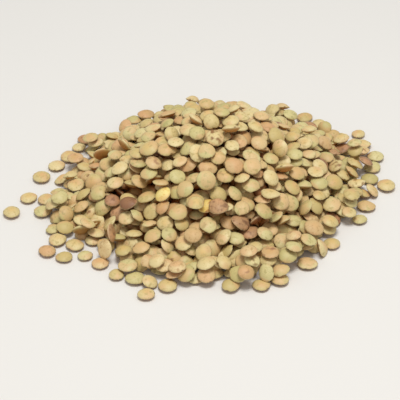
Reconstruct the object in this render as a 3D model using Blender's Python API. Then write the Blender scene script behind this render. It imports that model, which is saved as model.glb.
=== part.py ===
"""A heap of dry green lentils as it was poured out on a table, with the ones that rolled clear of it.

Metres, +Z up. The origin is on the table under the middle of the heap, and -Y is the side that is
seen. The heap is one solid, a smooth core with the lentils of its skin fused on, each where it came
to rest in a pour that is worked out here. The lentils that lie clear of it are solids of their own.
"""

import itertools
import math

import bmesh
import bpy
import numpy as np
from mathutils import Matrix, Vector

MM = 0.001
TURN = 2 * math.pi

# A lentil: a round lens with a blunt edge.
LENTIL_DIAMETER = 6.2 * MM
DIAMETER_SPREAD = 0.075
THICKNESS_SHARE = 0.42
THICKNESS_SPREAD = 0.07
MOST_SPREAD = 2.2
RIDGE = 0.66
RIDGE_HEIGHT = 0.66

# The heap: a cone at the slope that poured lentils hold, round on top, with a ragged foot one lentil deep.
HEAP_HEIGHT = 30.2 * MM
CROWN_RADIUS = 15 * MM
FOOT_RADII_MM = (
    *(55, 57, 58, 52, 51, 50.5, 52, 53, 51, 50.5, 52.5, 53),
    *(55, 60, 56, 51.5, 53, 54, 52, 50, 50, 49, 49, 53),
)
EDGE_INSET = 1.0 * MM
TOE_WIDTH = 4 * MM
TOE_HEIGHT = 2.0 * MM
SWELL = 0.8 * MM
SWELL_LENGTH = 17 * MM
SWELL_SHIFTS = (1.0, 2.2)

# The pour: lentils drop where the heap is lowest, and each slides and tips until it lies still.
SEED = 11
CELL = 0.3 * MM
BED_HALF = 84 * MM
POURED_ONTO = 8 * MM
SPOTS_INSIDE = 12 * MM
SPOT_SPACING = 1.5 * MM
SPOT_REACH = 1.7 * MM
SPOT_NOISE = 1.5 * MM
ROOM_NEEDED = 0.3 * MM
TRIED_BEFORE = 0.2 * MM
LEAN = 0.6
OUTWARD_LEANS = (-0.8, 0.3)
WEDGED_SHARE = 0.05
WEDGED_LEAN = 1.6
WEDGED_STEP = 0.15
SLIDE_REACH = 2.2 * MM
SLIDE_FRICTION = 0.8
SLIDE_STEP = 0.9 * MM
TIP_STEP = 0.28
TIP_COST = 3 * MM
TRIES = 14
ROUNDS = 12

# The solid: a core under the skin, and the lentils of the skin that show most.
CORE_DEPTH = 1.6 * MM
CORE_EVENED = 3.3 * MM
CORE_INSET = 4.2 * MM
CORE_CLEARANCE = 2.4 * MM
CORE_FOOT = 1.0 * MM
CORE_STEPS = (0.10, 0.22, 0.34, 0.46, 0.58, 0.70, 0.82, 0.92, 1.0)
CORE_SIDES = 44
FUSED_LENTILS = 300
FUSED_SIDES = 6
FUSED_ROWS = ((0.0, -1.0), (1.04, 0.0), (0.60, 0.86))
LOOSE_SIDES = 8
LOOSE_ROWS = ((0.0, -1.0), (RIDGE, -RIDGE_HEIGHT), (1.0, 0.0), (RIDGE, RIDGE_HEIGHT), (0.0, 1.0))
SUNK_AT_LEAST = 0.35 * MM
JOINED_SHARE = 0.8
JOINED_SAMPLES = 5
LIFT = 0.12 * MM

# The lentils that lie clear of the heap, as X and Y in millimetres, from the left round the front.
LOOSE_PLACES_MM = (
    (-72.7, -14.8),
    (-63.9, 6.4),
    (-67.4, -6.0),
    (-60.9, -7.4),
    (-58.8, 13.7),
    (-54.4, 19.3),
    (-61.6, -13.8),
    (-49.1, 30.6),
    (-54.9, -30.3),
    (-58.0, -36.3),
    (-51.9, -39.3),
    (-48.6, -33.0),
    (-44.6, -38.5),
    (-39.2, -42.7),
    (-33.3, -48.5),
    (-26.8, -50.7),
    (-22.9, -58.6),
    (-15.8, -54.3),
    (5.6, -54.4),
    (16.0, -53.9),
    (22.2, -51.2),
    (32.2, -43.0),
    (41.5, -32.2),
    (52.4, -18.6),
    (55.5, -11.0),
    (63.9, 1.2),
    (58.4, 5.1),
    (60.1, 12.8),
    (61.9, 19.3),
    (56.8, 34.4),
    (49.5, 31.8),
    (42.0, 41.0),
    (36.6, 45.6),
    (25.8, 50.2),
)
LOOSE_SPREAD_TURNS = 20
LOOSE_GAP = 0.35 * MM

LENTIL_COLOUR = (0.53, 0.42, 0.22, 1.0)
LENTIL_ROUGHNESS = 0.6


def smooth_ring(radii, angle):
    """The radius at an angle, eased between equally spaced ones."""
    place = np.asarray(angle) / TURN * len(radii) % len(radii)
    low = np.floor(place).astype(int)
    part = place - low
    ease = part * part * (3 - 2 * part)
    radii = np.array(radii)
    return radii[low % len(radii)] * (1 - ease) + radii[(low + 1) % len(radii)] * ease


def foot_radius(angle):
    return smooth_ring(FOOT_RADII_MM, angle) * MM - EDGE_INSET


def cone_height(x, y):
    """The height of the even cone with its round top."""
    foot = foot_radius(np.arctan2(y, x)) - TOE_WIDTH
    crown = CROWN_RADIUS / foot
    out = np.hypot(x, y) / foot
    drop = (np.hypot(out, crown) - crown) / (np.hypot(1, crown) - crown)
    waves = [np.sin(at / SWELL_LENGTH * math.pi + shift) for at, shift in zip((x, y), SWELL_SHIFTS)]
    return HEAP_HEIGHT * (1 - drop) + SWELL * waves[0] * waves[1]


def heap_surface(x, y):
    """The height up to which the heap is filled, and below zero outside its foot."""
    toe = np.where(np.hypot(x, y) < foot_radius(np.arctan2(y, x)), TOE_HEIGHT, -1.0)
    return np.where(toe > 0, np.maximum(cone_height(x, y), toe), toe)


def unit(vectors):
    return vectors / np.linalg.norm(vectors, axis=-1, keepdims=True)


class Bed:
    """What the lentils fall on: the height of each cell of a grid, and the lentil that lies on top there."""

    def __init__(self, biggest):
        count = 2 * round(BED_HALF / CELL) + 1
        self.axis = (np.arange(count) - (count - 1) / 2) * CELL
        self.grid_x, self.grid_y = np.meshgrid(self.axis, self.axis, indexing="ij")
        self.height = np.maximum(heap_surface(self.grid_x, self.grid_y) - POURED_ONTO, 0)
        self.owner = np.full(self.height.shape, -1)
        reach = math.ceil(biggest / CELL) + 1
        steps = np.arange(-reach, reach + 1)
        self.near_i, self.near_j = (a.ravel() for a in np.meshgrid(steps, steps, indexing="ij"))

    def cells_near(self, x, y):
        i = np.rint((x + BED_HALF) / CELL).astype(int)[:, None] + self.near_i
        j = np.rint((y + BED_HALF) / CELL).astype(int)[:, None] + self.near_j
        return i, j, self.axis[i] - x[:, None], self.axis[j] - y[:, None]

    def resting_height(self, x, y, normal, radius, half):
        """How high the middle of a lentil comes to rest at each place and tilt."""
        i, j, dx, dy = self.cells_near(x, y)
        covered, under, _ = lentil_faces(dx, dy, normal, radius, half)
        return np.where(covered, self.height[i, j] - under, -1.0).max(axis=1)

    def lay(self, index, place, normal, radius, half):
        i, j, dx, dy = self.cells_near(place[:1], place[1:2])
        covered, _, over = lentil_faces(dx, dy, normal[None], radius, half)
        i, j, top = i[covered], j[covered], place[2] + over[covered]
        shows = top > self.height[i, j]
        self.height[i[shows], j[shows]] = top[shows]
        self.owner[i[shows], j[shows]] = index


def lentil_faces(dx, dy, normal, radius, half):
    """Where a tilted lentil covers these offsets from its middle, and its lower and upper face there."""
    flat, steep = 1 / radius**2, 1 / half**2 - 1 / radius**2
    along = normal[:, 0:1] * dx + normal[:, 1:2] * dy
    up = normal[:, 2:3]
    square = flat + steep * up * up
    linear = steep * up * along
    constant = flat * (dx * dx + dy * dy) + steep * along * along - 1
    inside = linear * linear - square * constant
    root = np.sqrt(np.maximum(inside, 0))
    return inside > 0, (-linear - root) / square, (-linear + root) / square


def settled(bed, draw, clear, start, normal, radius, half, tip_step):
    """Slides and tips a lentil from where it lands to the lowest place near by, against friction."""
    best = np.array([*start, *normal])
    height, least = 0.0, 0.0
    for turn in range(ROUNDS):
        fade = 1 - turn / ROUNDS
        step = np.array([SLIDE_STEP, SLIDE_STEP, tip_step, tip_step, tip_step / 3]) * fade
        trial = best + draw.normal(size=(TRIES, 5)) * step
        trial[0] = best
        trial[:, 4] = np.abs(trial[:, 4])
        trial[:, 2:] = unit(trial[:, 2:])
        moved = np.hypot(trial[:, 0] - start[0], trial[:, 1] - start[1])
        apart = np.hypot(trial[:, 0:1] - clear[:, 0], trial[:, 1:2] - clear[:, 1]) - clear[:, 2] - radius
        rest = bed.resting_height(trial[:, 0], trial[:, 1], trial[:, 2:], radius, half)
        cost = rest + SLIDE_FRICTION * moved + TIP_COST * (1 - trial[:, 4])
        cost += (moved > SLIDE_REACH) + (apart.min(axis=1) < LOOSE_GAP)
        chosen = int(np.argmin(cost))
        best, height, least = trial[chosen], float(rest[chosen]), cost[chosen]
    return np.array([best[0], best[1], height]), best[2:], least < 1


def lentil_size(draw):
    spread = np.clip(draw.normal(size=2), -MOST_SPREAD, MOST_SPREAD)
    radius = LENTIL_DIAMETER / 2 * (1 + DIAMETER_SPREAD * spread[0])
    return radius, radius * THICKNESS_SHARE * (1 + THICKNESS_SPREAD * spread[1])


class Spots:
    """The places where a lentil may drop, and how much room each has up to the heap's surface."""

    def __init__(self, bed, draw):
        count = int((BED_HALF - SPOTS_INSIDE) / SPOT_SPACING)
        steps = np.arange(-count, count + 1) * SPOT_SPACING
        x, y = (a.ravel() for a in np.meshgrid(steps, steps, indexing="ij"))
        surface = heap_surface(x, y)
        inside = surface > 0
        self.x, self.y, self.surface = x[inside], y[inside], surface[inside]
        self.noise = draw.normal(size=self.x.size) * SPOT_NOISE
        self.tried = np.zeros(self.x.size)
        disc = np.hypot(bed.near_i, bed.near_j) * CELL < SPOT_REACH
        self.near = bed.near_i[disc], bed.near_j[disc]
        self.room = self.room_at(bed, np.arange(self.x.size))

    def room_at(self, bed, which):
        i = np.rint((self.x[which] + BED_HALF) / CELL).astype(int)[:, None] + self.near[0]
        j = np.rint((self.y[which] + BED_HALF) / CELL).astype(int)[:, None] + self.near[1]
        return self.surface[which] - bed.height[i, j].mean(axis=1)

    def deepest(self):
        """The spot with the most room, give or take some noise, or -1 when the heap is full."""
        room = self.room - self.tried
        if (room < ROOM_NEEDED).all():
            return -1
        return int(np.argmax(np.where(room < ROOM_NEEDED, -1.0, room + self.noise)))

    def update(self, bed, place, reach):
        which = np.flatnonzero(np.hypot(self.x - place[0], self.y - place[1]) < reach)
        self.room[which] = self.room_at(bed, which)


def poured_lentils(bed, draw, loose):
    """Fills the heap up to its surface. A lentil is its middle, its normal, its radius and half thickness."""
    spots = Spots(bed, draw)
    clear = np.array([(place[0], place[1], radius) for place, _, radius, _ in loose])
    lentils = []
    while (spot := spots.deepest()) >= 0:
        spots.tried[spot] += TRIED_BEFORE
        radius, half = lentil_size(draw)
        start = np.array([spots.x[spot], spots.y[spot]]) + draw.normal(size=2) * SPOT_SPACING / 3
        outward = start / max(float(np.hypot(*start)), CROWN_RADIUS)
        lean = np.array([*(outward * draw.uniform(*OUTWARD_LEANS)), 1.0])
        wedged = draw.uniform() < WEDGED_SHARE
        lean[:2] += draw.normal(size=2) * (WEDGED_LEAN if wedged else LEAN)
        tip_step = TIP_STEP * (WEDGED_STEP if wedged else 1)
        place, normal, free = settled(bed, draw, clear, start, unit(lean), radius, half, tip_step)
        if free:
            bed.lay(len(lentils), place, normal, radius, half)
            spots.update(bed, place, radius + SPOT_REACH + SPOT_SPACING)
            lentils.append((place, normal, radius, half))
    return lentils


def loose_lentils(draw):
    """Each lies flat on the table, pushed clear of the next one."""
    places = np.array(LOOSE_PLACES_MM) * MM
    sizes = np.array([lentil_size(draw) for _ in places])
    for _ in range(LOOSE_SPREAD_TURNS):
        for one, other in itertools.combinations(range(len(places)), 2):
            away = places[one] - places[other]
            apart = float(np.hypot(*away))
            short = sizes[one, 0] + sizes[other, 0] + LOOSE_GAP - apart
            if short > 0:
                places[one] += away / apart * short / 2
                places[other] -= away / apart * short / 2
    up = np.array([0.0, 0.0, 1.0])
    return [(np.array([*place, half]), up, radius, half) for place, (radius, half) in zip(places, sizes)]


def lens_mesh(name, sides, rows):
    """A lens of radius 1 and half thickness 1, from rows of how far out and up, a pole or a ring each."""
    mesh = bmesh.new()
    made = []
    for out, up in rows:
        turns = [TURN * k / sides for k in range(sides)] if out else [0.0]
        made.append([mesh.verts.new((out * math.cos(t), out * math.sin(t), up)) for t in turns])
    for low, high in zip(made, made[1:]):
        for k in range(sides):
            corners = [low[k % len(low)], low[(k + 1) % sides % len(low)]]
            corners += [high[(k + 1) % sides % len(high)], high[k % len(high)]]
            mesh.faces.new(list(dict.fromkeys(corners)))
    if len(made[-1]) > 1:
        mesh.faces.new(made[-1])
    bmesh.ops.triangulate(mesh, faces=mesh.faces[:])
    data = bpy.data.meshes.new(name)
    mesh.to_mesh(data)
    mesh.free()
    return data


def lentil_matrix(lentil, turn):
    place, normal, radius, half = lentil
    tip = Vector(normal).to_track_quat("Z", "Y").to_matrix().to_4x4()
    size = Matrix.Diagonal((radius, radius, half, 1))
    return Matrix.Translation(Vector(place)) @ tip @ Matrix.Rotation(turn, 4, "Z") @ size


def lentil_object(name, lens, lentil, turn, collection):
    """The lens at its place and size, which are in its mesh."""
    data = lens.copy()
    data.transform(lentil_matrix(lentil, turn))
    made = bpy.data.objects.new(name, data)
    collection.objects.link(made)
    return made


def core_height(bed, x, y):
    """A little under the poured lentils' own height, evened out over a lentil's width."""
    even = np.hypot(bed.near_i, bed.near_j) * CELL < CORE_EVENED
    i = np.rint((np.asarray(x) + BED_HALF) / CELL).astype(int)[..., None] + bed.near_i[even]
    j = np.rint((np.asarray(y) + BED_HALF) / CELL).astype(int)[..., None] + bed.near_j[even]
    return np.maximum(bed.height[i, j].mean(axis=-1) - CORE_DEPTH, CORE_FOOT)


def core_radii(angles, loose):
    """How far the core reaches at each angle, short of the lentils that lie clear of the heap."""
    radii = foot_radius(angles) - CORE_INSET
    for place, _, radius, _ in loose:
        out = float(np.hypot(place[0], place[1]))
        turn = np.angle(np.exp(1j * (angles - math.atan2(place[1], place[0]))))
        near = np.abs(turn) * out < radius + out * TURN / CORE_SIDES
        radii[near] = np.minimum(radii[near], out - radius - CORE_CLEARANCE)
    return radii


def core_object(name, bed, loose, collection):
    """The heap under its skin: rings of points up the slope, and a flat face on the table."""
    mesh = bmesh.new()
    angles = TURN * np.arange(CORE_SIDES) / CORE_SIDES
    rows = []
    for step in CORE_STEPS:
        radii = core_radii(angles, loose) * step
        x, y = radii * np.cos(angles), radii * np.sin(angles)
        rows.append([mesh.verts.new(point) for point in zip(x, y, core_height(bed, x, y))])
    top = mesh.verts.new((0, 0, float(core_height(bed, 0.0, 0.0))))
    foot = [mesh.verts.new((v.co.x, v.co.y, 0)) for v in rows[-1]]
    rows.append(foot)
    for k in range(CORE_SIDES):
        after = (k + 1) % CORE_SIDES
        mesh.faces.new((top, rows[0][k], rows[0][after]))
        for inner, outer in zip(rows, rows[1:]):
            mesh.faces.new((inner[k], outer[k], outer[after], inner[after]))
    mesh.faces.new(foot[::-1])
    bmesh.ops.triangulate(mesh, faces=mesh.faces[:])
    data = bpy.data.meshes.new(name)
    mesh.to_mesh(data)
    mesh.free()
    made = bpy.data.objects.new(name, data)
    collection.objects.link(made)
    return made


def skin_of(bed, lentils, loose):
    """The lentils that show most, seen from above, each pressed down or in far enough to join the core."""
    shown = np.bincount(bed.owner[bed.owner >= 0], minlength=len(lentils))
    chosen = np.argsort(-shown, kind="stable")[:FUSED_LENTILS]
    skin = []
    for index in sorted(chosen):
        place, normal, radius, half = lentils[index]
        foot = core_radii(np.arctan2(place[1:2], place[:1]), loose)[0]
        inward = min(1.0, (foot + JOINED_SHARE * radius) / math.hypot(place[0], place[1]))
        place = place * [inward, inward, 1.0]
        across = np.linspace(-radius, radius, JOINED_SAMPLES) / 2
        dx, dy = (a.ravel() for a in np.meshgrid(across, across))
        covered, under, _ = lentil_faces(dx[None], dy[None], normal[None], radius, half)
        core = core_height(bed, place[0] + dx, place[1] + dy)
        gap = np.where(covered[0], place[2] + under[0] - core, 1.0).min()
        sink = max(0.0, gap + SUNK_AT_LEAST)
        lowest = math.hypot(half * normal[2], radius * math.sqrt(1 - normal[2] ** 2))
        height = max(place[2] - sink, lowest + LIFT)
        skin.append((np.array([place[0], place[1], height]), normal, radius, half))
    return skin


def outer_shell(mesh):
    """Keeps a joined mesh's largest piece: what the lentils seal off is filled, and scraps are dropped."""
    work = bmesh.new()
    work.from_mesh(mesh)
    left = set(work.verts)
    pieces = []
    while left:
        first = left.pop()
        piece, front = {first}, [first]
        while front:
            for edge in front.pop().link_edges:
                for vert in edge.verts:
                    if vert not in piece:
                        piece.add(vert)
                        front.append(vert)
        left -= piece
        pieces.append(piece)
    pieces.sort(key=len)
    for piece in pieces[:-1]:
        bmesh.ops.delete(work, geom=list(piece), context="VERTS")
    bmesh.ops.triangulate(work, faces=work.faces[:])
    work.to_mesh(mesh)
    work.free()


def fused_heap(bed, lentils, loose, draw, collection):
    """The core and the skin as one solid."""
    heap = core_object("lentil_heap", bed, loose, collection)
    parts = bpy.data.collections.new("skin")
    bpy.context.scene.collection.children.link(parts)
    lens = lens_mesh("fused lens", FUSED_SIDES, FUSED_ROWS)
    for number, lentil in enumerate(skin_of(bed, lentils, loose)):
        lentil_object(f"skin {number}", lens, lentil, draw.uniform(0, TURN), parts)
    union = heap.modifiers.new("skin", "BOOLEAN")
    union.operation = "UNION"
    union.operand_type = "COLLECTION"
    union.collection = parts
    union.solver = "MANIFOLD"
    graph = bpy.context.evaluated_depsgraph_get()
    joined = bpy.data.meshes.new_from_object(heap.evaluated_get(graph))
    heap.modifiers.remove(union)
    heap.data = joined
    for made in list(parts.objects):
        bpy.data.objects.remove(made)
    bpy.data.collections.remove(parts)
    outer_shell(heap.data)
    return heap


def lentil_skin_material():
    material = bpy.data.materials.new("dry lentil seed coat")
    material.use_nodes = True
    shader = material.node_tree.nodes["Principled BSDF"]
    shader.inputs["Base Color"].default_value = LENTIL_COLOUR
    shader.inputs["Roughness"].default_value = LENTIL_ROUGHNESS
    return material


def main():
    for old in list(bpy.data.objects):
        bpy.data.objects.remove(old)
    collection = bpy.context.scene.collection
    draw = np.random.default_rng(SEED)
    biggest = LENTIL_DIAMETER / 2 * (1 + DIAMETER_SPREAD * MOST_SPREAD)
    bed = Bed(biggest)
    loose = loose_lentils(draw)
    lentils = poured_lentils(bed, draw, loose)
    heap = fused_heap(bed, lentils, loose, draw, collection)
    heap.data.materials.append(lentil_skin_material())
    lens = lens_mesh("loose lens", LOOSE_SIDES, LOOSE_ROWS)
    for number, lentil in enumerate(loose, start=1):
        made = lentil_object(f"loose_lentil_{number:02d}", lens, lentil, draw.uniform(0, TURN), collection)
        made.data.materials.append(lentil_skin_material())


if __name__ == "__main__":
    main()
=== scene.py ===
"""The looks of a heap of dry green lentils, with the ones that rolled clear of it.

Metres, +Z up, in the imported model's frame: the origin is on the table under the middle of the heap.
The pour is worked out again as in the model, so each lentil lies where the model has it.
"""

import itertools
import math

import bmesh
import bpy
import numpy as np
from mathutils import Matrix, Vector


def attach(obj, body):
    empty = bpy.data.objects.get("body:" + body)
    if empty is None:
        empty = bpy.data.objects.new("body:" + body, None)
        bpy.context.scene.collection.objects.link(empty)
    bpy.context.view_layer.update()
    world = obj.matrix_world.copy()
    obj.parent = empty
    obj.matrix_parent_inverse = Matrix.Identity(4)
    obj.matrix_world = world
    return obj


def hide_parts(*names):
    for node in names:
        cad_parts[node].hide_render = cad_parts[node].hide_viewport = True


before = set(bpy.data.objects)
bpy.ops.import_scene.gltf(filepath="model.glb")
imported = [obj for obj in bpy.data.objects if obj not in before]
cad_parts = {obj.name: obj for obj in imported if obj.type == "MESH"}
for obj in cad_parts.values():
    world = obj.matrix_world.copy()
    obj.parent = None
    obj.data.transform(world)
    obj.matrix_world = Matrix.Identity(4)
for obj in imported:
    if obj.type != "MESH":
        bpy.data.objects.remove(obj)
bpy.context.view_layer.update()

MM = 0.001
TURN = 2 * math.pi

# A lentil: a round lens with a blunt edge.
LENTIL_DIAMETER = 6.2 * MM
DIAMETER_SPREAD = 0.075
THICKNESS_SHARE = 0.42
THICKNESS_SPREAD = 0.07
MOST_SPREAD = 2.2

# The heap: a cone at the slope that poured lentils hold, round on top, with a ragged foot one lentil deep.
HEAP_HEIGHT = 30.2 * MM
CROWN_RADIUS = 15 * MM
FOOT_RADII_MM = (
    *(55, 57, 58, 52, 51, 50.5, 52, 53, 51, 50.5, 52.5, 53),
    *(55, 60, 56, 51.5, 53, 54, 52, 50, 50, 49, 49, 53),
)
EDGE_INSET = 1.0 * MM
TOE_WIDTH = 4 * MM
TOE_HEIGHT = 2.0 * MM
SWELL = 0.8 * MM
SWELL_LENGTH = 17 * MM
SWELL_SHIFTS = (1.0, 2.2)

# The pour: lentils drop where the heap is lowest, and each slides and tips until it lies still.
SEED = 11
CELL = 0.3 * MM
BED_HALF = 84 * MM
POURED_ONTO = 8 * MM
SPOTS_INSIDE = 12 * MM
SPOT_SPACING = 1.5 * MM
SPOT_REACH = 1.7 * MM
SPOT_NOISE = 1.5 * MM
ROOM_NEEDED = 0.3 * MM
TRIED_BEFORE = 0.2 * MM
LEAN = 0.6
OUTWARD_LEANS = (-0.8, 0.3)
WEDGED_SHARE = 0.05
WEDGED_LEAN = 1.6
WEDGED_STEP = 0.15
SLIDE_REACH = 2.2 * MM
SLIDE_FRICTION = 0.8
SLIDE_STEP = 0.9 * MM
TIP_STEP = 0.28
TIP_COST = 3 * MM
TRIES = 14
ROUNDS = 12

# The lentils that lie clear of the heap, as X and Y in millimetres, from the left round the front.
LOOSE_PLACES_MM = (
    (-72.7, -14.8),
    (-63.9, 6.4),
    (-67.4, -6.0),
    (-60.9, -7.4),
    (-58.8, 13.7),
    (-54.4, 19.3),
    (-61.6, -13.8),
    (-49.1, 30.6),
    (-54.9, -30.3),
    (-58.0, -36.3),
    (-51.9, -39.3),
    (-48.6, -33.0),
    (-44.6, -38.5),
    (-39.2, -42.7),
    (-33.3, -48.5),
    (-26.8, -50.7),
    (-22.9, -58.6),
    (-15.8, -54.3),
    (5.6, -54.4),
    (16.0, -53.9),
    (22.2, -51.2),
    (32.2, -43.0),
    (41.5, -32.2),
    (52.4, -18.6),
    (55.5, -11.0),
    (63.9, 1.2),
    (58.4, 5.1),
    (60.1, 12.8),
    (61.9, 19.3),
    (56.8, 34.4),
    (49.5, 31.8),
    (42.0, 41.0),
    (36.6, 45.6),
    (25.8, 50.2),
)
LOOSE_SPREAD_TURNS = 20
LOOSE_GAP = 0.35 * MM

# The lentils that lean on the foot of the heap: those seen, as X and Y in millimetres, and some all round.
LEANING_PLACES_MM = (
    (-51.5, 12.3),
    (-55.2, 4.5),
    (-57.4, -15.0),
    (-51.2, 25.6),
    (-36.3, -38.1),
    (-22.2, -53.1),
    (18.4, -46.1),
    (27.5, 44.9),
    (53.5, 16.0),
    (56.5, 20.5),
    (58.0, 26.0),
    (8.6, -50.0),
    (12.8, -48.3),
    (25.1, -44.4),
    (28.2, -37.5),
    (32.4, -37.5),
    (47.3, -17.5),
    (-56.7, -23.7),
    (10.5, -52.2),
    (22.5, -48.0),
    (27.2, -42.8),
    (17.4, -49.1),
    (36.4, -34.8),
    (-29.5, -46.0),
    (-52.5, -25.5),
    (56.5, -2.0),
)
LEANING_COUNT = 26
LEANING_REACH = (-2.5 * MM, 0.8 * MM)

# A point far off the heap, for a lentil that has nothing to keep clear of.
NOTHING_CLEAR = np.array([[1.0, 1.0, 0.0]])

# How much of what is under a pressed lentil it lies above. The rest runs into it.
PRESSED_QUANTILE = 0.6

# The layer under the skin, which shows in the gaps and is turned every way.
UNDER_SPACING = 4.6 * MM
UNDER_JITTER = 1.2 * MM
UNDER_DEPTH = 4.4 * MM
UNDER_DEPTH_SPREAD = 0.6 * MM
UNDER_LEAN = 0.75
UNDER_INSET = 4 * MM

# The photograph's camera, half a metre from a point on the table just in front of the heap's middle.
CAMERA_AIM = Vector((-4.8 * MM, -5.9 * MM, 0))
CAMERA_DISTANCE = 0.5
CAMERA_ELEVATION = math.radians(38)
CAMERA_LENS_MM = 122.85
CAMERA_SENSOR_MM = 36

# The floor and the light: lengths in metres, the lamp in watts.
FLOOR_SIDE = 4.0
FLOOR_COLOUR = "e3e0da"
FLOOR_ROUGHNESS = 0.9
ROOM_LIGHT = 0.48
LAMP_PLACE = (0.03, -0.14, 0.80)
LAMP_SIDE = 0.28
LAMP_WATTS = 4.6

# The core under the lentils, coloured dark as painted shade for the gaps between them.
CORE_INSET = 11 * MM
CORE_DEPTH = 6.3 * MM
CORE_FOOT = 0.4 * MM
CORE_SIDES = 64
CORE_RINGS = 14

# The seed of the draw for forms, coats and turns.
LOOKS_SEED = 5

# How the lentils differ in form. A lens is rows of points from its lower pole to its upper one, each with
# how far out it is as a share of the radius, and how high as a share of the half thickness.
LENS_SIDES = 14
WHOLE_LENS = ((0, -1), (0.52, -0.8), (0.89, -0.27), (1, 0), (0.89, 0.27), (0.52, 0.8), (0, 1))
HALF_LENS = ((0, -0.16), (0.6, -0.14), (0.97, -0.1), (1, 0), (0.89, 0.27), (0.52, 0.8), (0, 1))
ROUNDNESS_SPREAD = 0.035
UNEVENNESS = 0.5 * MM
UNEVEN_LENGTH = 3.4 * MM
UNEVEN_DETAIL = 1.0
NOISE_MIDDLE = (0.5, 0.5, 0.5)

# What the bent forms depart by, in the same shares, with angles in radians.
DENT_DEPTH = 0.8
DENT_OUT = 0.25
DENT_SPREAD = 0.2
SADDLE_BEND = 0.34
EGG_NARROWER = 0.10
EGG_LENGTH = 1.04
EGG_THINNER = 0.12
CHIP_DEPTH = 0.30
CHIP_ANGLE = 0.4
CHIP_FADE_POWER = 3
WRINKLES = ((3, 0.6), (5, 2.0))
WRINKLED_RADIUS = 0.95
WRINKLED_EDGE = 0.07
WRINKLED_THICKNESS = 0.88
WRINKLED_SWELL = 0.2
WRINKLED_BEND = 0.24

# The coats: share of the heap, the palest and deepest lentil of the kind, its middle and how far that shows,
# its mottling and its blotches.
KINDS = {
    # The common one gives the heap its yellowish green, each lentil with a tan middle.
    "khaki": {
        "coat": "khaki seed coat of a dry green lentil",
        "share": 0.46,
        "pale": "e1ce98",
        "deep": "c6b172",
        "centre": "dab169",
        "glow": 0.7,
        "mottle": "b49f62",
        "blotch": "8c6238",
    },
    # A little greener and duller, so that neighbours part from each other.
    "olive": {
        "coat": "olive seed coat of a dry green lentil",
        "share": 0.26,
        "pale": "d9cc94",
        "deep": "bfb070",
        "centre": "d5bf7d",
        "glow": 0.4,
        "mottle": "a89a5e",
        "blotch": "8d7048",
    },
    # The coolest of the greens, with hardly a middle.
    "green": {
        "coat": "grey-green seed coat of a dry green lentil",
        "share": 0.08,
        "pale": "d4c78b",
        "deep": "c0b374",
        "centre": "d0c088",
        "glow": 0.3,
        "mottle": "a9a067",
        "blotch": "94794c",
    },
    # Pinkish tan ones, which break up the green as warm spots.
    "rosy": {
        "coat": "rosy seed coat of a dry green lentil",
        "share": 0.10,
        "pale": "dfc792",
        "deep": "c59e6a",
        "centre": "d4a66a",
        "glow": 0.8,
        "mottle": "b08a58",
        "blotch": "8a5440",
    },
    # A few dark ones, which the eye finds first.
    "brown": {
        "coat": "brown seed coat of an old lentil",
        "share": 0.012,
        "pale": "be966a",
        "deep": "8c6244",
        "centre": "b98550",
        "glow": 0.5,
        "mottle": "80563a",
        "blotch": "68422c",
    },
    # Only where a lentil is marked as such: bright yellow, without the green skin.
    "peeled": {
        "coat": "yellow flesh of a lentil that lost its coat",
        "share": 0.0,
        "pale": "edd884",
        "deep": "dcb454",
        "centre": "f3e39c",
        "glow": 0.5,
        "mottle": "d9a653",
        "blotch": "9b5b35",
    },
}

# Lentils that stand out, by X and Y in millimetres: the kind, how pale, how blotched and how warm in the
# middle, each from 0 to 1.
MARKED_LENTILS = {
    (-18.1, -21.8): ("peeled", 0.9, 0.2, 0.9),
    (-2.7, -27.4): ("peeled", 0.3, 1.0, 0.6),
    (-18.7, -27.1): ("rosy", 0.0, 0.3, 1.0),
    (-14.5, -26.8): ("rosy", 0.1, 0.3, 0.8),
    (-5.5, -24.3): ("khaki", 0.7, 0.9, 1.0),
    (2.1, -33.1): ("brown", 0.95, 0.9, 0.4),
    (7.3, -32.2): ("brown", 0.8, 0.9, 0.4),
    (-12.9, -13.6): ("brown", 0.5, 1.0, 0.3),
    (43.8, 19.3): ("brown", 0.9, 0.9, 0.5),
    (-35.0, -20.1): ("brown", 0.0, 0.4, 0.1),
    (-27.7, -22.2): ("brown", 0.0, 0.6, 0.5),
    (-47.2, -14.6): ("khaki", 0.4, 0.3, 0.6),
    (-45.1, -21.3): ("khaki", 0.7, 0.2, 0.8),
    (-35.8, -29.0): ("brown", 1.0, 0.4, 0.9),
    (-37.8, -37.9): ("brown", 0.8, 0.7, 0.4),
    (12.6, -31.1): ("brown", 0.6, 0.5, 0.5),
    (38.1, 42.3): ("brown", 0.8, 0.4, 0.4),
    (-45.5, 14.4): ("rosy", 0.1, 0.9, 1.0),
    (0.1, -17.3): ("rosy", 0.5, 0.6, 0.7),
    (-5.1, -19.0): ("olive", 0.6, 0.2, 0.1),
    (18.6, -30.3): ("olive", 0.1, 0.9, 0.2),
    (-23.5, -17.9): ("green", 0.4, 0.1, 0.1),
    (0.1, -23.6): ("green", 0.8, 0.1, 0.1),
    (-2.0, -14.3): ("green", 0.9, 0.2, 0.1),
    (37.7, 6.8): ("green", 0.6, 0.2, 0.2),
    (29.4, 2.4): ("green", 0.7, 0.2, 0.2),
    (34.6, 12.2): ("khaki", 1.0, 0.2, 0.9),
    (46.2, 7.2): ("khaki", 0.5, 1.0, 0.4),
    (47.3, 1.2): ("khaki", 0.4, 1.0, 0.4),
    (42.2, 29.1): ("rosy", 0.4, 0.3, 0.4),
    (-7.6, -33.9): ("rosy", 0.5, 0.3, 0.5),
    (-6.2, -36.8): ("rosy", 0.4, 0.3, 0.5),
    (-10.4, -11.9): ("khaki", 0.9, 0.9, 0.6),
    (23.3, -24.3): ("khaki", 0.8, 0.3, 0.5),
}

# How far the line of sight is followed to each side of such a place.
SIGHT_REACH = 15 * MM

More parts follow.
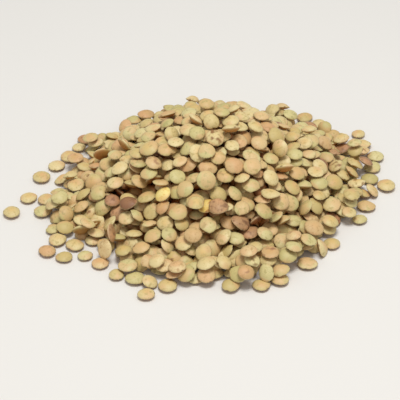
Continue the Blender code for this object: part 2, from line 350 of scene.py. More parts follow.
# The same for loose lentils, by number.
LOOSE_KINDS = {
    1: ("khaki", 0.6, 0.2, 0.8),
    2: ("khaki", 0.5, 0.2, 0.9),
    3: ("khaki", 0.8, 0.1, 0.9),
    6: ("khaki", 0.7, 0.1, 1.0),
    7: ("green", 0.8, 0.1, 0.1),
    8: ("brown", 0.7, 0.3, 0.3),
    9: ("khaki", 0.8, 0.1, 0.6),
    10: ("rosy", 0.3, 0.3, 0.3),
    12: ("khaki", 0.7, 0.2, 0.6),
    14: ("rosy", 0.8, 0.1, 1.0),
    17: ("khaki", 0.7, 0.2, 0.9),
    18: ("khaki", 0.5, 0.3, 0.6),
    26: ("khaki", 0.7, 0.2, 0.9),
    30: ("khaki", 0.7, 0.1, 1.0),
    31: ("khaki", 0.9, 0.2, 1.0),
}

# The patterns on a coat: the length of each and the detail of its noise. Flecks on a real coat are mostly
# finer than a pixel of the render, which is 0.35 mm, so they are drawn as coarse as they need to show.
# Mottling is about a millimetre, a blotch takes up to half a face, and the blush warms one side. The
# shift moves the noise on from one lentil to the next, so none runs on into its neighbour.
PATTERNS = {
    "fleck": (0.45 * MM, 3.0),
    "mottle": (1.3 * MM, 2.0),
    "blotch": (2.6 * MM, 1.0),
    "blush": (4.5 * MM, 0.0),
}
PATTERN_SHIFT = 40.0

# Where each layer of a coat begins and is full, as a value of its noise or of the place on the lentil, and
# how far it shows.
CENTRE_FROM = (0.85, 0.1)
BLUSH_FROM = (0.48, 0.62)
BLUSH_COLOUR = "dba576"
BLUSH_SHOWS = 0.43
MOTTLE_FROM = (0.52, 0.72)
MOTTLE_SHOWS = 0.75
BLOTCH_FROM = (0.55, 0.68)
BLOTCHED_FROM = (0.8, 1.0)
FLECK_FROM = (0.52, 0.7)
FLECK_SHOWS = 0.6
# The pale edge is a painted highlight, where the rim of each lentil would catch the light.
EDGE_FROM = (0.90, 1.0)
EDGE_PAINTED_HIGHLIGHT = "e6d4a2"
EDGE_SHOWS = 0.6
SCAR_PLACE = (1.0, 0.0, 0.05)
SCAR_FROM = (0.20, 0.11)
SCAR_COLOUR = "6b4a2e"
SCAR_SHOWS = 0.7
# Painted shade on the downturned side of each lentil, darkened as if in shadow.
UNDERSIDE_FROM = (0.05, -0.6)
UNDERSIDE_PAINTED_SHADE = "d3a880"
# Painted shade on lentils that lie deep under the heap's surface, so the gaps look warm and not grey.
DARKER_FROM = (0.8 * MM, 5.2 * MM)
DEEP_PAINTED_SHADE = "c8843e"

# How matt a coat is from the low to the high of its mottling, and its grain.
ROUGHNESS_FROM = (0.3, 0.7)
COAT_ROUGHNESS = (0.5, 0.64)
GRAIN_STRENGTH = 0.35
GRAIN_HEIGHT = 0.08 * MM
# The core's dark colour is painted shade, for the lentils in shadow deep between the others.
DEPTH_PAINTED_SHADE = "5a4023"
DEPTH_ROUGHNESS = 0.8


def smooth_ring(radii, angle):
    """The radius at an angle, eased between equally spaced ones."""
    place = np.asarray(angle) / TURN * len(radii) % len(radii)
    low = np.floor(place).astype(int)
    part = place - low
    ease = part * part * (3 - 2 * part)
    radii = np.array(radii)
    return radii[low % len(radii)] * (1 - ease) + radii[(low + 1) % len(radii)] * ease


def foot_radius(angle):
    return smooth_ring(FOOT_RADII_MM, angle) * MM - EDGE_INSET


def cone_height(x, y):
    """The height of the even cone with its round top."""
    foot = foot_radius(np.arctan2(y, x)) - TOE_WIDTH
    crown = CROWN_RADIUS / foot
    out = np.hypot(x, y) / foot
    drop = (np.hypot(out, crown) - crown) / (np.hypot(1, crown) - crown)
    waves = [np.sin(at / SWELL_LENGTH * math.pi + shift) for at, shift in zip((x, y), SWELL_SHIFTS)]
    return HEAP_HEIGHT * (1 - drop) + SWELL * waves[0] * waves[1]


def heap_surface(x, y):
    """The height up to which the heap is filled, and below zero outside its foot."""
    toe = np.where(np.hypot(x, y) < foot_radius(np.arctan2(y, x)), TOE_HEIGHT, -1.0)
    return np.where(toe > 0, np.maximum(cone_height(x, y), toe), toe)


def unit(vectors):
    return vectors / np.linalg.norm(vectors, axis=-1, keepdims=True)


class Bed:
    """What the lentils fall on: the height of each cell of a grid, and the lentil that lies on top."""

    def __init__(self, biggest):
        count = 2 * round(BED_HALF / CELL) + 1
        self.axis = (np.arange(count) - (count - 1) / 2) * CELL
        self.grid_x, self.grid_y = np.meshgrid(self.axis, self.axis, indexing="ij")
        self.height = np.maximum(heap_surface(self.grid_x, self.grid_y) - POURED_ONTO, 0)
        self.owner = np.full(self.height.shape, -1)
        reach = math.ceil(biggest / CELL) + 1
        steps = np.arange(-reach, reach + 1)
        self.near_i, self.near_j = (a.ravel() for a in np.meshgrid(steps, steps, indexing="ij"))

    def cells_near(self, x, y):
        i = np.rint((x + BED_HALF) / CELL).astype(int)[:, None] + self.near_i
        j = np.rint((y + BED_HALF) / CELL).astype(int)[:, None] + self.near_j
        return i, j, self.axis[i] - x[:, None], self.axis[j] - y[:, None]

    def resting_height(self, x, y, normal, radius, half):
        """How high the middle of a lentil comes to rest at each place and tilt."""
        i, j, dx, dy = self.cells_near(x, y)
        covered, under, _ = lentil_faces(dx, dy, normal, radius, half)
        return np.where(covered, self.height[i, j] - under, -1.0).max(axis=1)

    def lay(self, index, place, normal, radius, half):
        i, j, dx, dy = self.cells_near(place[:1], place[1:2])
        covered, _, over = lentil_faces(dx, dy, normal[None], radius, half)
        i, j, top = i[covered], j[covered], place[2] + over[covered]
        shows = top > self.height[i, j]
        self.height[i[shows], j[shows]] = top[shows]
        self.owner[i[shows], j[shows]] = index


def lentil_faces(dx, dy, normal, radius, half):
    """Where a tilted lentil covers these offsets from its middle, and its lower and upper face there."""
    flat, steep = 1 / radius**2, 1 / half**2 - 1 / radius**2
    along = normal[:, 0:1] * dx + normal[:, 1:2] * dy
    up = normal[:, 2:3]
    square = flat + steep * up * up
    linear = steep * up * along
    constant = flat * (dx * dx + dy * dy) + steep * along * along - 1
    inside = linear * linear - square * constant
    root = np.sqrt(np.maximum(inside, 0))
    return inside > 0, (-linear - root) / square, (-linear + root) / square


def settled(bed, draw, clear, start, normal, radius, half, tip_step):
    """Slides and tips a lentil from where it lands to the lowest place near by, against friction."""
    best = np.array([*start, *normal])
    height, least = 0.0, 0.0
    for turn in range(ROUNDS):
        fade = 1 - turn / ROUNDS
        step = np.array([SLIDE_STEP, SLIDE_STEP, tip_step, tip_step, tip_step / 3]) * fade
        trial = best + draw.normal(size=(TRIES, 5)) * step
        trial[0] = best
        trial[:, 4] = np.abs(trial[:, 4])
        trial[:, 2:] = unit(trial[:, 2:])
        moved = np.hypot(trial[:, 0] - start[0], trial[:, 1] - start[1])
        apart = np.hypot(trial[:, 0:1] - clear[:, 0], trial[:, 1:2] - clear[:, 1]) - clear[:, 2] - radius
        rest = bed.resting_height(trial[:, 0], trial[:, 1], trial[:, 2:], radius, half)
        cost = rest + SLIDE_FRICTION * moved + TIP_COST * (1 - trial[:, 4])
        # A place that isn't allowed costs a metre, which is more than any that is.
        cost += (moved > SLIDE_REACH) + (apart.min(axis=1) < LOOSE_GAP)
        chosen = int(np.argmin(cost))
        best, height, least = trial[chosen], float(rest[chosen]), cost[chosen]
    return np.array([best[0], best[1], height]), best[2:], least < 1


def lentil_size(draw):
    spread = np.clip(draw.normal(size=2), -MOST_SPREAD, MOST_SPREAD)
    radius = LENTIL_DIAMETER / 2 * (1 + DIAMETER_SPREAD * spread[0])
    return radius, radius * THICKNESS_SHARE * (1 + THICKNESS_SPREAD * spread[1])


class Spots:
    """The places where a lentil may drop, and how much room each has up to the heap's surface."""

    def __init__(self, bed, draw):
        count = int((BED_HALF - SPOTS_INSIDE) / SPOT_SPACING)
        steps = np.arange(-count, count + 1) * SPOT_SPACING
        x, y = (a.ravel() for a in np.meshgrid(steps, steps, indexing="ij"))
        surface = heap_surface(x, y)
        inside = surface > 0
        self.x, self.y, self.surface = x[inside], y[inside], surface[inside]
        self.noise = draw.normal(size=self.x.size) * SPOT_NOISE
        self.tried = np.zeros(self.x.size)
        disc = np.hypot(bed.near_i, bed.near_j) * CELL < SPOT_REACH
        self.near = bed.near_i[disc], bed.near_j[disc]
        self.room = self.room_at(bed, np.arange(self.x.size))

    def room_at(self, bed, which):
        i = np.rint((self.x[which] + BED_HALF) / CELL).astype(int)[:, None] + self.near[0]
        j = np.rint((self.y[which] + BED_HALF) / CELL).astype(int)[:, None] + self.near[1]
        return self.surface[which] - bed.height[i, j].mean(axis=1)

    def deepest(self):
        """The spot with the most room, give or take some noise, or -1 when the heap is full."""
        room = self.room - self.tried
        if (room < ROOM_NEEDED).all():
            return -1
        return int(np.argmax(np.where(room < ROOM_NEEDED, -1.0, room + self.noise)))

    def update(self, bed, place, reach):
        which = np.flatnonzero(np.hypot(self.x - place[0], self.y - place[1]) < reach)
        self.room[which] = self.room_at(bed, which)


def poured_lentils(bed, draw, loose):
    """Fills the heap up to its surface. A lentil is its middle, its normal, its radius and half thickness."""
    spots = Spots(bed, draw)
    clear = np.array([(place[0], place[1], radius) for place, _, radius, _ in loose])
    lentils = []
    while (spot := spots.deepest()) >= 0:
        spots.tried[spot] += TRIED_BEFORE
        radius, half = lentil_size(draw)
        start = np.array([spots.x[spot], spots.y[spot]]) + draw.normal(size=2) * SPOT_SPACING / 3
        outward = start / max(float(np.hypot(*start)), CROWN_RADIUS)
        lean = np.array([*(outward * draw.uniform(*OUTWARD_LEANS)), 1.0])
        wedged = draw.uniform() < WEDGED_SHARE
        lean[:2] += draw.normal(size=2) * (WEDGED_LEAN if wedged else LEAN)
        tip_step = TIP_STEP * (WEDGED_STEP if wedged else 1)
        place, normal, free = settled(bed, draw, clear, start, unit(lean), radius, half, tip_step)
        if free:
            bed.lay(len(lentils), place, normal, radius, half)
            spots.update(bed, place, radius + SPOT_REACH + SPOT_SPACING)
            lentils.append((place, normal, radius, half))
    return lentils


def loose_lentils(draw):
    """Each lies flat on the table, pushed clear of the next one."""
    places = np.array(LOOSE_PLACES_MM) * MM
    sizes = np.array([lentil_size(draw) for _ in places])
    for _ in range(LOOSE_SPREAD_TURNS):
        for one, other in itertools.combinations(range(len(places)), 2):
            away = places[one] - places[other]
            apart = float(np.hypot(*away))
            short = sizes[one, 0] + sizes[other, 0] + LOOSE_GAP - apart
            if short > 0:
                places[one] += away / apart * short / 2
                places[other] -= away / apart * short / 2
    up = np.array([0.0, 0.0, 1.0])
    return [(np.array([*place, half]), up, radius, half) for place, (radius, half) in zip(places, sizes)]


def linear(hex_colour, alpha=1.0):
    """An sRGB hex colour as the linear one that shaders take."""
    values = [int(hex_colour[k : k + 2], 16) / 255 for k in (0, 2, 4)]
    return (*(v / 12.92 if v <= 0.04045 else ((v + 0.055) / 1.055) ** 2.4 for v in values), alpha)


def even_lens(x, y, z):
    return x, y, z


def dented_lens(x, y, z):
    """One cheek has sunk in."""
    dent = DENT_DEPTH * math.exp(-((x - DENT_OUT) ** 2 + y * y) / DENT_SPREAD) if z > 0 else 0.0
    return x, y, z - dent


def bent_lens(x, y, z):
    """It dried out of true, like a shallow saddle."""
    return x, y, z + SADDLE_BEND * (x * x - y * y)


def egg_lens(x, y, z):
    """Narrower at one end."""
    return x * (1 - EGG_NARROWER * y), y * EGG_LENGTH, z * (1 - EGG_THINNER * y)


def chipped_lens(x, y, z):
    """A piece of the edge is gone."""
    fade = math.hypot(x, y) ** CHIP_FADE_POWER
    bite = CHIP_DEPTH * math.exp(-((math.atan2(y, x) / CHIP_ANGLE) ** 2)) * fade
    return x * (1 - bite), y * (1 - bite), z


def wrinkled_lens(x, y, z):
    """It shrank as it dried, and its edge is wavy."""
    turn, out = math.atan2(y, x), math.hypot(x, y)
    wave = sum(math.sin(turn * count + shift) for count, shift in WRINKLES) / len(WRINKLES) * out
    shrink = WRINKLED_RADIUS - WRINKLED_EDGE * wave
    thick = WRINKLED_THICKNESS + WRINKLED_SWELL * wave
    return x * shrink, y * shrink, z * thick + WRINKLED_BEND * wave * out


# Each form of lentil: how the even lens is bent, its rows from pole to pole, and its share.
FORMS = {
    "a_even": (even_lens, WHOLE_LENS, 0.40),
    "b_egg": (egg_lens, WHOLE_LENS, 0.18),
    "c_bent": (bent_lens, WHOLE_LENS, 0.14),
    "d_dented": (dented_lens, WHOLE_LENS, 0.12),
    "e_wrinkled": (wrinkled_lens, WHOLE_LENS, 0.08),
    "f_chipped": (chipped_lens, WHOLE_LENS, 0.06),
    "g_half": (even_lens, HALF_LENS, 0.02),
}

# Loose lentils are only even or egg-shaped, because the solids have them even.
LOOSE_FORM_SHARES = (0.6, 0.4)


def lens_form(name, bend, rows, collection):
    """A unit lens bent into one form. Each point keeps where it lies on the even lens, for the seed coat."""
    mesh = bmesh.new()
    own = mesh.verts.layers.float_vector.new("own")
    made = []
    for out, up in rows:
        turns = [TURN * k / LENS_SIDES for k in range(LENS_SIDES)] if out else [0.0]
        even = [(out * math.cos(t), out * math.sin(t), up) for t in turns]
        made.append([mesh.verts.new(bend(*at)) for at in even])
        for vert, at in zip(made[-1], even):
            vert[own] = Vector(at)
    for low, high in zip(made, made[1:]):
        for k in range(LENS_SIDES):
            corners = [low[k % len(low)], low[(k + 1) % LENS_SIDES % len(low)]]
            corners += [high[(k + 1) % LENS_SIDES % len(high)], high[k % len(high)]]
            mesh.faces.new(list(dict.fromkeys(corners)))
    bmesh.ops.recalc_face_normals(mesh, faces=mesh.faces[:])
    data = bpy.data.meshes.new(name)
    mesh.to_mesh(data)
    mesh.free()
    collection.objects.link(bpy.data.objects.new(name, data))


def pressed_lentils(bed, draw, first):
    """Fills the gaps that the pour left. Each is pressed in among its neighbours, a little into them."""
    spots = Spots(bed, draw)
    lentils = []
    while (spot := spots.deepest()) >= 0:
        spots.tried[spot] += TRIED_BEFORE
        radius, half = lentil_size(draw)
        start = np.array([spots.x[spot], spots.y[spot]])
        outward = start / max(float(np.hypot(*start)), CROWN_RADIUS)
        lean = outward * draw.uniform(*OUTWARD_LEANS) + draw.normal(size=2) * LEAN
        normal = unit(np.array([*lean, 1.0]))
        i, j, dx, dy = bed.cells_near(start[:1], start[1:])
        covered, under, _ = lentil_faces(dx, dy, normal[None], radius, half)
        rest = float(np.quantile((bed.height[i, j] - under)[covered], PRESSED_QUANTILE))
        place = np.array([*start, rest])
        bed.lay(first + len(lentils), place, normal, radius, half)
        spots.update(bed, place, radius + SPOT_REACH + SPOT_SPACING)
        lentils.append((place, normal, radius, half))
    return lentils


def under_lentils(draw):
    """A second layer, close under the skin and along the slope."""
    count = int(BED_HALF / UNDER_SPACING)
    steps = np.arange(-count, count + 1) * UNDER_SPACING
    x, y = (a.ravel() + draw.normal(size=a.size) * UNDER_JITTER for a in np.meshgrid(steps, steps))
    inside = np.hypot(x, y) < foot_radius(np.arctan2(y, x)) - UNDER_INSET
    lentils = []
    for x, y in zip(x[inside], y[inside]):
        radius, half = lentil_size(draw)
        height = cone_height(np.array([x, x + CELL, x]), np.array([y, y, y + CELL]))
        slope = (height[0] - height[1:]) / CELL
        normal = unit(np.array([*(slope + draw.normal(size=2) * UNDER_LEAN), 1.0]))
        lowest = math.hypot(half * normal[2], radius * math.sqrt(1 - normal[2] ** 2))
        depth = UNDER_DEPTH + draw.normal() * UNDER_DEPTH_SPREAD
        lentils.append((np.array([x, y, max(height[0] - depth, lowest)]), normal, radius, half))
    return lentils


def leaning_lentils(bed, draw, first):
    """Those that lie against the foot of the heap and on the loose ones, dropped last."""
    angles = TURN * (np.arange(LEANING_COUNT) + draw.uniform(size=LEANING_COUNT)) / LEANING_COUNT
    out = foot_radius(angles) + draw.uniform(*LEANING_REACH, size=LEANING_COUNT)
    round_foot = np.stack([out * np.cos(angles), out * np.sin(angles)], axis=1)
    lentils = []
    for start in [*(np.array(LEANING_PLACES_MM) * MM), *round_foot]:
        radius, half = lentil_size(draw)
        lean = unit(np.array([*(draw.normal(size=2) * LEAN), 1.0]))
        place, normal, _ = settled(bed, draw, NOTHING_CLEAR, start, lean, radius, half, TIP_STEP)
        bed.lay(first + len(lentils), place, normal, radius, half)
        lentils.append((place, normal, radius, half))
    return lentils


def seen_lentil(bed, place):
    """The number of the lentil that the camera sees in front of a place on the heap, or -1."""
    x, y = np.array(place) * MM
    along = np.arange(SIGHT_REACH, -SIGHT_REACH, -CELL)
    i = round((x + BED_HALF) / CELL)
    j = np.rint((y - along * math.cos(CAMERA_ELEVATION) + BED_HALF) / CELL).astype(int)
    height = cone_height(x, y) + along * math.sin(CAMERA_ELEVATION)
    met = np.flatnonzero(bed.height[i, j] >= height)
    return int(bed.owner[i, j[met[0]]]) if met.size else -1


def drawn(draw, shares, count):
    """Numbers drawn at random, each as often as its share says."""
    return draw.choice(len(shares), size=count, p=np.array(shares) / sum(shares))


def lentil_points(name, lentils, forms, marks, draw):
    """A point for each lentil, with its turn, its size, its form and what marks its coat."""
    turns, sizes = [], []
    for _, normal, radius, half in lentils:
        tip = Vector(normal).to_track_quat("Z", "Y").to_matrix()
        turns.append(tuple((tip @ Matrix.Rotation(draw.uniform(0, TURN), 3, "Z")).to_euler()))
        oval = 1 + draw.normal() * ROUNDNESS_SPREAD
        sizes.append((radius * oval, radius / oval, half))
    data = bpy.data.meshes.new(name)
    data.from_pydata([tuple(place) for place, _, _, _ in lentils], [], [])
    for attribute, values in (("turn", turns), ("size", sizes), ("marks", marks)):
        layer = data.attributes.new(attribute, "FLOAT_VECTOR", "POINT")
        layer.data.foreach_set("vector", np.array(values, dtype=float).ravel())
    data.attributes.new("form", "INT", "POINT").data.foreach_set("value", forms)
    return data


def add_node(tree, kind, inputs=None, **settings):
    """Adds a node with its settings, and sets each input to a value or links it to a socket."""
    made = tree.nodes.new(kind)
    for name, value in settings.items():
        setattr(made, name, value)
    for name, value in (inputs or {}).items():
        if isinstance(value, bpy.types.NodeSocket):
            tree.links.new(value, made.inputs[name])
        else:
            made.inputs[name].default_value = value
    return made


def lentil_scatter():
    """The nodes that put a lens at each point, make each a little uneven and smooth, and give it its coat."""
    tree = bpy.data.node_groups.new("laid lentils", "GeometryNodeTree")
    face = tree.interface
    face.new_socket("Geometry", in_out="INPUT", socket_type="NodeSocketGeometry")
    face.new_socket("Forms", in_out="INPUT", socket_type="NodeSocketCollection")
    face.new_socket("Unevenness", in_out="INPUT", socket_type="NodeSocketFloat")
    face.new_socket("Unevenness length", in_out="INPUT", socket_type="NodeSocketFloat")
    face.new_socket("Coat", in_out="INPUT", socket_type="NodeSocketMaterial")
    face.new_socket("Geometry", in_out="OUTPUT", socket_type="NodeSocketGeometry")
    given = add_node(tree, "NodeGroupInput").outputs
    forms = add_node(tree, "GeometryNodeCollectionInfo", {"Collection": given["Forms"]})
    forms.inputs["Separate Children"].default_value = True
    forms.inputs["Reset Children"].default_value = True
    turn = add_node(tree, "GeometryNodeInputNamedAttribute", {"Name": "turn"}, data_type="FLOAT_VECTOR")
    size = add_node(tree, "GeometryNodeInputNamedAttribute", {"Name": "size"}, data_type="FLOAT_VECTOR")
    form = add_node(tree, "GeometryNodeInputNamedAttribute", {"Name": "form"}, data_type="INT")
    laid = add_node(
        tree,
        "GeometryNodeInstanceOnPoints",
        {
            "Points": given["Geometry"],
            "Instance": forms.outputs[0],
            "Pick Instance": True,
            "Instance Index": form.outputs["Attribute"],
            "Rotation": turn.outputs["Attribute"],
            "Scale": size.outputs["Attribute"],
        },
    )
    real = add_node(tree, "GeometryNodeRealizeInstances", {"Geometry": laid.outputs[0]})
    per_metre = add_node(
        tree, "ShaderNodeMath", {0: 1.0, 1: given["Unevenness length"]}, operation="DIVIDE"
    )
    noise = add_node(
        tree,
        "ShaderNodeTexNoise",
        {
            "Vector": add_node(tree, "GeometryNodeInputPosition").outputs[0],
            "Scale": per_metre.outputs[0],
            "Detail": UNEVEN_DETAIL,
        },
    )
    middle = add_node(
        tree, "ShaderNodeVectorMath", {0: noise.outputs["Color"], 1: NOISE_MIDDLE}, operation="SUBTRACT"
    )
    shift = add_node(
        tree, "ShaderNodeVectorMath", {0: middle.outputs[0], "Scale": given["Unevenness"]}, operation="SCALE"
    )
    moved = add_node(
        tree, "GeometryNodeSetPosition", {"Geometry": real.outputs[0], "Offset": shift.outputs[0]}
    )
    smooth = add_node(tree, "GeometryNodeSetShadeSmooth", {"Geometry": moved.outputs[0]})
    coated = add_node(
        tree, "GeometryNodeSetMaterial", {"Geometry": smooth.outputs[0], "Material": given["Coat"]}
    )
    add_node(tree, "NodeGroupOutput", {"Geometry": coated.outputs[0]})
    return tree


def laid_piece(name, points, scatter, forms, coat):
    """The lentils of one kind as a plain mesh."""
    carrier = bpy.data.objects.new("points", points)
    bpy.context.scene.collection.objects.link(carrier)
    laying = carrier.modifiers.new("laid lentils", "NODES")
    laying.node_group = scatter
    sockets = {item.name: item.identifier for item in scatter.interface.items_tree if item.in_out == "INPUT"}
    laying[sockets["Forms"]] = forms
    laying[sockets["Unevenness"]] = UNEVENNESS
    laying[sockets["Unevenness length"]] = UNEVEN_LENGTH
    laying[sockets["Coat"]] = coat
    graph = bpy.context.evaluated_depsgraph_get()
    data = bpy.data.meshes.new_from_object(carrier.evaluated_get(graph))
    data.name = name
    bpy.data.objects.remove(carrier)
    places = np.zeros(len(data.vertices) * 3)
    data.vertices.foreach_get("co", places)
    x, y, z = places.reshape(-1, 3).T
    # How deep each point lies under the heap's surface, which drives the painted shade in the coat.
    sunk = data.attributes.new("sunk", "FLOAT", "POINT")
    sunk.data.foreach_set("value", np.maximum(cone_height(x, y), TOE_HEIGHT) - z)
    piece = bpy.data.objects.new(name, data)
    bpy.context.scene.collection.objects.link(piece)
    return piece


def seed_coat(name, kind):
    """The dry seed coat of one kind of lentil, laid on in layers over a tint of its own. It is matt, warmer
    in the middle of each face, with a painted highlight along the edge, and blushed, mottled and flecked,
    with a brown blotch on some and the small dark scar where the seed hung in its pod. The side that is
    turned down, and lentils that lie deep, get painted brown shade, so the gaps of the heap look warm and not
    grey."""
    material = bpy.data.materials.new(name)
    material.use_nodes = True
    tree = material.node_tree
    shader = tree.nodes["Principled BSDF"]
    place = add_node(tree, "ShaderNodeTexCoord").outputs["Object"]
    own = add_node(tree, "ShaderNodeAttribute", attribute_name="own").outputs["Vector"]
    marks = add_node(tree, "ShaderNodeAttribute", attribute_name="marks").outputs["Vector"]
    sunk = add_node(tree, "ShaderNodeAttribute", attribute_name="sunk").outputs["Fac"]
    tint, patchy, glow = add_node(tree, "ShaderNodeSeparateXYZ", {0: marks}).outputs
    height = add_node(tree, "ShaderNodeSeparateXYZ", {0: own}).outputs["Z"]
    flat = add_node(tree, "ShaderNodeVectorMath", {0: own, 1: (1, 1, 0)}, operation="MULTIPLY")
    out = add_node(tree, "ShaderNodeVectorMath", {0: flat.outputs[0]}, operation="LENGTH").outputs["Value"]
    scar = add_node(tree, "ShaderNodeVectorMath", {0: own, 1: SCAR_PLACE}, operation="DISTANCE")
    shift = add_node(tree, "ShaderNodeMath", {0: patchy, 1: PATTERN_SHIFT}, operation="MULTIPLY").outputs[0]
    noises = {}
    for pattern, (length, detail) in PATTERNS.items():
        noises[pattern] = add_node(
            tree,
            "ShaderNodeTexNoise",
            {"Vector": place, "W": shift, "Scale": 1 / length, "Detail": detail},
            noise_dimensions="4D",
        ).outputs[0]
    warmth = add_node(tree, "ShaderNodeMath", {0: glow, 1: kind["glow"]}, operation="MULTIPLY").outputs[0]
    blotched = add_node(
        tree,
        "ShaderNodeMapRange",
        {"Value": patchy, 1: BLOTCHED_FROM[0], 2: BLOTCHED_FROM[1]},
        interpolation_type="SMOOTHSTEP",
    ).outputs[0]
    colour = add_node(
        tree, "ShaderNodeMix", {0: tint, 6: linear(kind["deep"]), 7: linear(kind["pale"])}, data_type="RGBA"
    ).outputs[2]
    layers = (
        (out, CENTRE_FROM, warmth, kind["centre"], "MIX"),
        (noises["blush"], BLUSH_FROM, BLUSH_SHOWS, BLUSH_COLOUR, "MIX"),
        (noises["mottle"], MOTTLE_FROM, MOTTLE_SHOWS, kind["mottle"], "MIX"),
        (noises["blotch"], BLOTCH_FROM, blotched, kind["blotch"], "MIX"),
        (noises["fleck"], FLECK_FROM, FLECK_SHOWS, kind["deep"], "MIX"),
        # A painted highlight along the rim.
        (out, EDGE_FROM, EDGE_SHOWS, EDGE_PAINTED_HIGHLIGHT, "MIX"),
        (scar.outputs["Value"], SCAR_FROM, SCAR_SHOWS, SCAR_COLOUR, "MIX"),
        # Painted shade on the downturned side.
        (height, UNDERSIDE_FROM, 1.0, UNDERSIDE_PAINTED_SHADE, "MULTIPLY"),
        # Painted shade on the deep lentils.
        (sunk, DARKER_FROM, 1.0, DEEP_PAINTED_SHADE, "MULTIPLY"),
    )
    for driver, (start, end), shows, over, blend in layers:
        share = add_node(
            tree,
            "ShaderNodeMapRange",
            {"Value": driver, 1: start, 2: end, 4: shows},
            interpolation_type="SMOOTHSTEP",
        ).outputs[0]
        colour = add_node(
            tree,
            "ShaderNodeMix",
            {0: share, 6: colour, 7: linear(over)},
            data_type="RGBA",
            blend_type=blend,
        ).outputs[2]
    low, high = ROUGHNESS_FROM
    smoothest, roughest = COAT_ROUGHNESS
    roughness = add_node(
        tree,
        "ShaderNodeMapRange",
        {"Value": noises["mottle"], 1: low, 2: high, 3: smoothest, 4: roughest},
        interpolation_type="SMOOTHSTEP",
    )
    grain = add_node(
        tree,
        "ShaderNodeBump",
        {"Strength": GRAIN_STRENGTH, "Distance": GRAIN_HEIGHT, "Height": noises["fleck"]},
    )
    tree.links.new(colour, shader.inputs["Base Color"])
    tree.links.new(roughness.outputs[0], shader.inputs["Roughness"])
    tree.links.new(grain.outputs[0], shader.inputs["Normal"])
    return material


def heap_core():
    """The mound under the lentils, which shows between them only as brown painted shade."""
    mesh = bmesh.new()
    angles = TURN * np.arange(CORE_SIDES) / CORE_SIDES
    rows = []
    for step in np.arange(1, CORE_RINGS + 1) / CORE_RINGS:
        radii = (foot_radius(angles) - CORE_INSET) * step
        x, y = radii * np.cos(angles), radii * np.sin(angles)
        height = np.maximum(cone_height(x, y) - CORE_DEPTH, CORE_FOOT)
        rows.append([mesh.verts.new(point) for point in zip(x, y, height)])
    top = mesh.verts.new((0, 0, float(cone_height(0.0, 0.0)) - CORE_DEPTH))
    rows.append([mesh.verts.new((v.co.x, v.co.y, 0)) for v in rows[-1]])
    for k in range(CORE_SIDES):
        after = (k + 1) % CORE_SIDES
        mesh.faces.new((top, rows[0][k], rows[0][after]))
        for inner, outer in zip(rows, rows[1:]):
            mesh.faces.new((inner[k], outer[k], outer[after], inner[after]))
    mesh.faces.new(rows[-1][::-1])
    data = bpy.data.meshes.new("heap_core")
    mesh.to_mesh(data)
    mesh.free()
    data.shade_smooth()
    piece = bpy.data.objects.new("heap_core", data)
    bpy.context.scene.collection.objects.link(piece)
    return piece


def heap_painted_shade():
    """Painted shade for what shows deep between the lentils: coats darkened to brown, mottled at a lentil's
    size.
    """
    material = bpy.data.materials.new("seed coats in painted shade")
    material.use_nodes = True
    tree = material.node_tree
    shader = tree.nodes["Principled BSDF"]
    place = add_node(tree, "ShaderNodeTexCoord").outputs["Object"]
    noise = add_node(tree, "ShaderNodeTexNoise", {"Vector": place, "Scale": 1 / LENTIL_DIAMETER})
    colour = add_node(
        tree,
        "ShaderNodeMix",
        {0: noise.outputs[0], 6: linear(DEPTH_PAINTED_SHADE), 7: linear(KINDS["brown"]["deep"])},
        data_type="RGBA",
    )
    tree.links.new(colour.outputs[2], shader.inputs["Base Color"])
    shader.inputs["Roughness"].default_value = DEPTH_ROUGHNESS
    return material


def studio():
    """A pale floor, even light from all round, and a soft lamp overhead, a little to the front."""
    floor = bpy.data.meshes.new("floor")
    half = FLOOR_SIDE / 2
    corners = [(-half, -half, 0), (half, -half, 0), (half, half, 0), (-half, half, 0)]
    floor.from_pydata(corners, [], [(0, 1, 2, 3)])
    surface = bpy.data.materials.new("matt white paper")
    surface.use_nodes = True
    shader = surface.node_tree.nodes["Principled BSDF"]
    shader.inputs["Base Color"].default_value = linear(FLOOR_COLOUR)
    shader.inputs["Roughness"].default_value = FLOOR_ROUGHNESS
    floor.materials.append(surface)
    laid = bpy.data.objects.new("floor", floor)
    bpy.context.scene.collection.objects.link(laid)
    world = bpy.data.worlds.new("room light")
    bpy.context.scene.world = world
    world.use_nodes = True
    background = world.node_tree.nodes["Background"]
    background.inputs["Color"].default_value = (1, 1, 1, 1)
    background.inputs["Strength"].default_value = ROOM_LIGHT
    light = bpy.data.lights.new("key", "AREA")
    light.size = LAMP_SIDE
    light.energy = LAMP_WATTS
    lamp = bpy.data.objects.new("key", light)
    bpy.context.scene.collection.objects.link(lamp)
    lamp.location = LAMP_PLACE
    lamp.rotation_euler = (-Vector(LAMP_PLACE)).to_track_quat("-Z", "Y").to_euler()


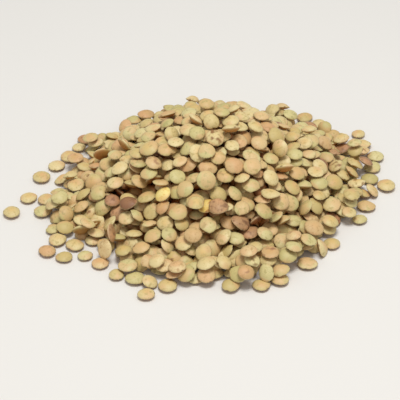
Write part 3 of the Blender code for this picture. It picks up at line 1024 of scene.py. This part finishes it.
def photograph_camera():
    camera = bpy.data.cameras.new("camera")
    camera.lens = CAMERA_LENS_MM
    camera.sensor_width = CAMERA_SENSOR_MM
    placed = bpy.data.objects.new("camera", camera)
    bpy.context.scene.collection.objects.link(placed)
    back = Vector((0, -math.cos(CAMERA_ELEVATION), math.sin(CAMERA_ELEVATION)))
    placed.location = CAMERA_AIM + back * CAMERA_DISTANCE
    placed.rotation_euler = (math.pi / 2 - CAMERA_ELEVATION, 0, 0)
    bpy.context.scene.camera = placed


def main():
    photograph_camera()
    studio()
    bpy.context.scene.view_settings.view_transform = "Standard"

    draw = np.random.default_rng(SEED)
    biggest = LENTIL_DIAMETER / 2 * (1 + DIAMETER_SPREAD * MOST_SPREAD)
    bed = Bed(biggest)
    loose = loose_lentils(draw)
    poured = poured_lentils(bed, draw, loose)
    for place, normal, radius, half in loose:
        bed.lay(-1, place, normal, radius, half)
    skin = poured + pressed_lentils(bed, draw, len(poured))
    skin += leaning_lentils(bed, draw, len(skin))
    heap = skin + under_lentils(draw)
    lentils = heap + loose
    marked = {seen_lentil(bed, place): mark for place, mark in MARKED_LENTILS.items()}
    marked |= {len(heap) + number - 1: mark for number, mark in LOOSE_KINDS.items()}
    marked.pop(-1, None)

    looks = np.random.default_rng(LOOKS_SEED)
    kinds = drawn(looks, [kind["share"] for kind in KINDS.values()], len(lentils))
    forms = drawn(looks, [share for _, _, share in FORMS.values()], len(lentils))
    forms[len(heap) :] = drawn(looks, LOOSE_FORM_SHARES, len(loose))
    marks = looks.uniform(size=(len(lentils), 3))
    for number, (kind, *mark) in marked.items():
        kinds[number] = list(KINDS).index(kind)
        marks[number] = mark

    lenses = bpy.data.collections.new("lentil forms")
    for name, (bend, rows, _) in FORMS.items():
        lens_form(name, bend, rows, lenses)
    scatter = lentil_scatter()
    for number, (name, kind) in enumerate(KINDS.items()):
        which = np.flatnonzero(kinds == number)
        points = lentil_points(name, [lentils[k] for k in which], forms[which], marks[which], looks)
        piece = laid_piece(f"{name}_lentils", points, scatter, lenses, seed_coat(kind["coat"], kind))
        on_table = [k - len(heap) + 1 for k in which if k >= len(heap)]
        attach(piece, "root")
        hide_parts("lentil_heap", *(f"loose_lentil_{k:02d}" for k in on_table))

    core = heap_core()
    core.data.materials.append(heap_painted_shade())
    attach(core, "root")
    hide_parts("lentil_heap")


main()
